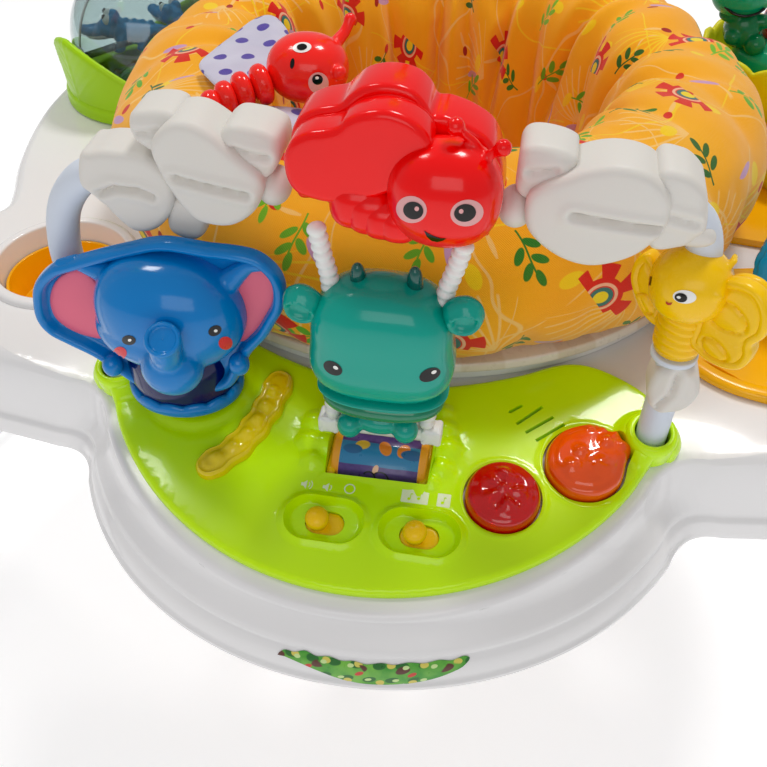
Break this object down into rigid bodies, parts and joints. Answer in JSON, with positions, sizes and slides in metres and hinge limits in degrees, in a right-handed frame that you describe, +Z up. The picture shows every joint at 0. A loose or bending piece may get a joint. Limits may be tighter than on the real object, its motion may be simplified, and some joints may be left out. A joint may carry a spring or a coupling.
{
  "type": "activity jumper",
  "caption": "Baby activity jumper: a tray of toys with a turning padded seat, hung on springs from arched tube uprights on a floor ring.",
  "frame": {"origin": "on the floor under the centre of the seat and of the whole jumper's box", "axes": "+X from the left side to the right side, -Y towards the front sound panel, +Z up"},
  "size_m": [0.952, 0.826, 0.852],
  "materials": {
    "amber_clear": "clear tinted",
    "battery_case": "printed steel sleeve",
    "board_green": "solder resist",
    "bug_red": "gloss moulded",
    "butterfly_yellow": "gloss moulded",
    "clear_shell": "clear",
    "cover_fabric": "woven",
    "croc_blue": "gloss moulded",
    "cup_yellow": "gloss moulded",
    "drum_print": "printed",
    "elephant_blue": "gloss moulded",
    "flower_orange": "gloss moulded",
    "frame_plastic": "gloss moulded",
    "frame_tube": "smooth powder coat",
    "frog_green": "gloss moulded",
    "grip_rubber": "matt",
    "hippo_teal": "gloss moulded",
    "leaf_white": "satin moulded",
    "lime_gloss": "gloss moulded",
    "moth_red": "gloss moulded",
    "orange_clear": "clear tinted",
    "orange_knob": "gloss moulded",
    "plate_yellow": "gloss moulded",
    "pot_green": "gloss moulded",
    "red_clear": "clear tinted",
    "rope_white": "satin moulded",
    "seat_fabric": "printed woven cloth over foam",
    "seat_ring_white": "satin moulded",
    "speaker_black": "matt",
    "spring_steel": "zinc plated wire",
    "strap_webbing": "woven webbing",
    "tray_under": "satin moulded",
    "tray_white": "gloss moulded",
    "wheel_blue": "gloss moulded",
    "wing_lilac": "printed cloth"
  },
  "bodies": {
    "frame": {"base_hub_left": "frame_plastic", "base_hub_right": "frame_plastic", "base_hub_rear": "frame_plastic", "base_hub_front": "frame_plastic", "base_rail_front": "frame_tube", "base_rail_left": "frame_tube", "base_rail_right": "frame_tube", "foot_left": "grip_rubber", "foot_right": "grip_rubber", "foot_rear": "grip_rubber", "upright_left": "frame_tube", "upright_right": "frame_tube", "upright_rear": "frame_tube", "top_housing_left": "lime_gloss", "top_housing_right": "lime_gloss", "top_housing_rear": "lime_gloss", "spring_left": "spring_steel", "spring_right": "spring_steel", "spring_rear": "spring_steel", "spring_cover_left": "cover_fabric", "spring_cover_right": "cover_fabric", "spring_cover_rear": "cover_fabric"},
    "tray": {"tray_top": "tray_white", "tray_bottom": "tray_under", "cup_insert": "cup_yellow", "strap_left": "strap_webbing", "strap_right": "strap_webbing", "strap_rear": "strap_webbing", "panel_housing": "lime_gloss", "panel_base": "tray_under", "battery_door": "tray_under", "batteries": "battery_case", "circuit_board": "board_green", "speaker": "speaker_black", "light_bar": "amber_clear", "arch_left": "leaf_white", "arch_right": "leaf_white", "moth": "moth_red", "leaf_cradle": "lime_gloss", "yellow_plate": "plate_yellow", "leaf_pot": "pot_green", "flower_cup": "pot_green"},
    "seat": {"seat_ring": "seat_ring_white", "seat_pad": "seat_fabric", "bug_toy": "bug_red", "bug_wings": "wing_lilac"},
    "volume_knob": {"volume_slider": "orange_knob"},
    "mode_knob": {"mode_slider": "orange_knob"},
    "red_key": {"red_button": "red_clear"},
    "orange_key": {"orange_button": "orange_clear"},
    "drum": {"picture_drum": "drum_print"},
    "swing": {"swing_frame": "rope_white", "hippo": "hippo_teal"},
    "elephant": {"elephant": "elephant_blue"},
    "butterfly": {"yellow_butterfly": "butterfly_yellow"},
    "ball": {"clear_ball": "clear_shell", "crocodiles": "croc_blue"},
    "frog_spinner": {"pot_spinner": "frog_green"},
    "flower": {"flower_spinner": "flower_orange"},
    "wheel": {"blue_wheel": "wheel_blue"}
  },
  "joints": [
    {"name": "tray_bounce", "type": "slide", "parent": "frame", "child": "tray", "axis": [0, 0, 1], "range_m": [-0.1, 0.02], "stiffness_N_per_m": 1500, "springref_m": 0.0333, "deforming": ["spring_left", "spring_right", "spring_rear", "spring_cover_left", "spring_cover_right", "spring_cover_rear"]},
    {"name": "seat_spin", "type": "hinge", "parent": "tray", "child": "seat", "pos_m": [0, 0, 0.4], "axis": [0, 0, 1], "continuous": true},
    {"name": "volume_slide", "type": "slide", "parent": "tray", "child": "volume_knob", "axis": [1, 0, 0], "range_m": [0, 0.006]},
    {"name": "mode_slide", "type": "slide", "parent": "tray", "child": "mode_knob", "axis": [1, 0, 0], "range_m": [-0.001, 0.005]},
    {"name": "red_press", "type": "slide", "parent": "tray", "child": "red_key", "axis": [0, 0.2079, -0.9781], "range_m": [0, 0.003], "stiffness_N_per_m": 400, "springref_m": -0.002},
    {"name": "orange_press", "type": "slide", "parent": "tray", "child": "orange_key", "axis": [0, 0.2079, -0.9781], "range_m": [0, 0.003], "stiffness_N_per_m": 400, "springref_m": -0.002},
    {"name": "drum_spin", "type": "hinge", "parent": "tray", "child": "drum", "pos_m": [0.0065, -0.1971, 0.3841], "axis": [1, 0, 0], "continuous": true},
    {"name": "hippo_swing", "type": "hinge", "parent": "tray", "child": "swing", "pos_m": [0.006, -0.1999, 0.502], "axis": [1, 0, 0], "range_deg": [-6, 12]},
    {"name": "elephant_rock", "type": "hinge", "parent": "tray", "child": "elephant", "pos_m": [-0.082, -0.177, 0.403], "axis": [1, 0, 0], "range_deg": [-2, 12], "stiffness_Nm_per_rad": 0.6, "springref_deg": -1.05},
    {"name": "butterfly_turn", "type": "hinge", "parent": "tray", "child": "butterfly", "pos_m": [0.1194, -0.178, 0.46], "axis": [0, 0, 1], "range_deg": [-60, 60]},
    {"name": "ball_spin", "type": "hinge", "parent": "tray", "child": "ball", "pos_m": [-0.207, 0.104, 0.436], "axis": [0.6, 0.8, 0], "continuous": true},
    {"name": "frog_spin", "type": "hinge", "parent": "tray", "child": "frog_spinner", "pos_m": [0.203, 0.148, 0.43], "axis": [0, 0, 1], "continuous": true},
    {"name": "flower_spin", "type": "hinge", "parent": "tray", "child": "flower", "pos_m": [0.206, 0.044, 0.42], "axis": [0, 0, 1], "continuous": true},
    {"name": "wheel_spin", "type": "hinge", "parent": "tray", "child": "wheel", "pos_m": [0.196, -0.08, 0.433], "axis": [0.3729, 0.9279, 0], "continuous": true}
  ]
}
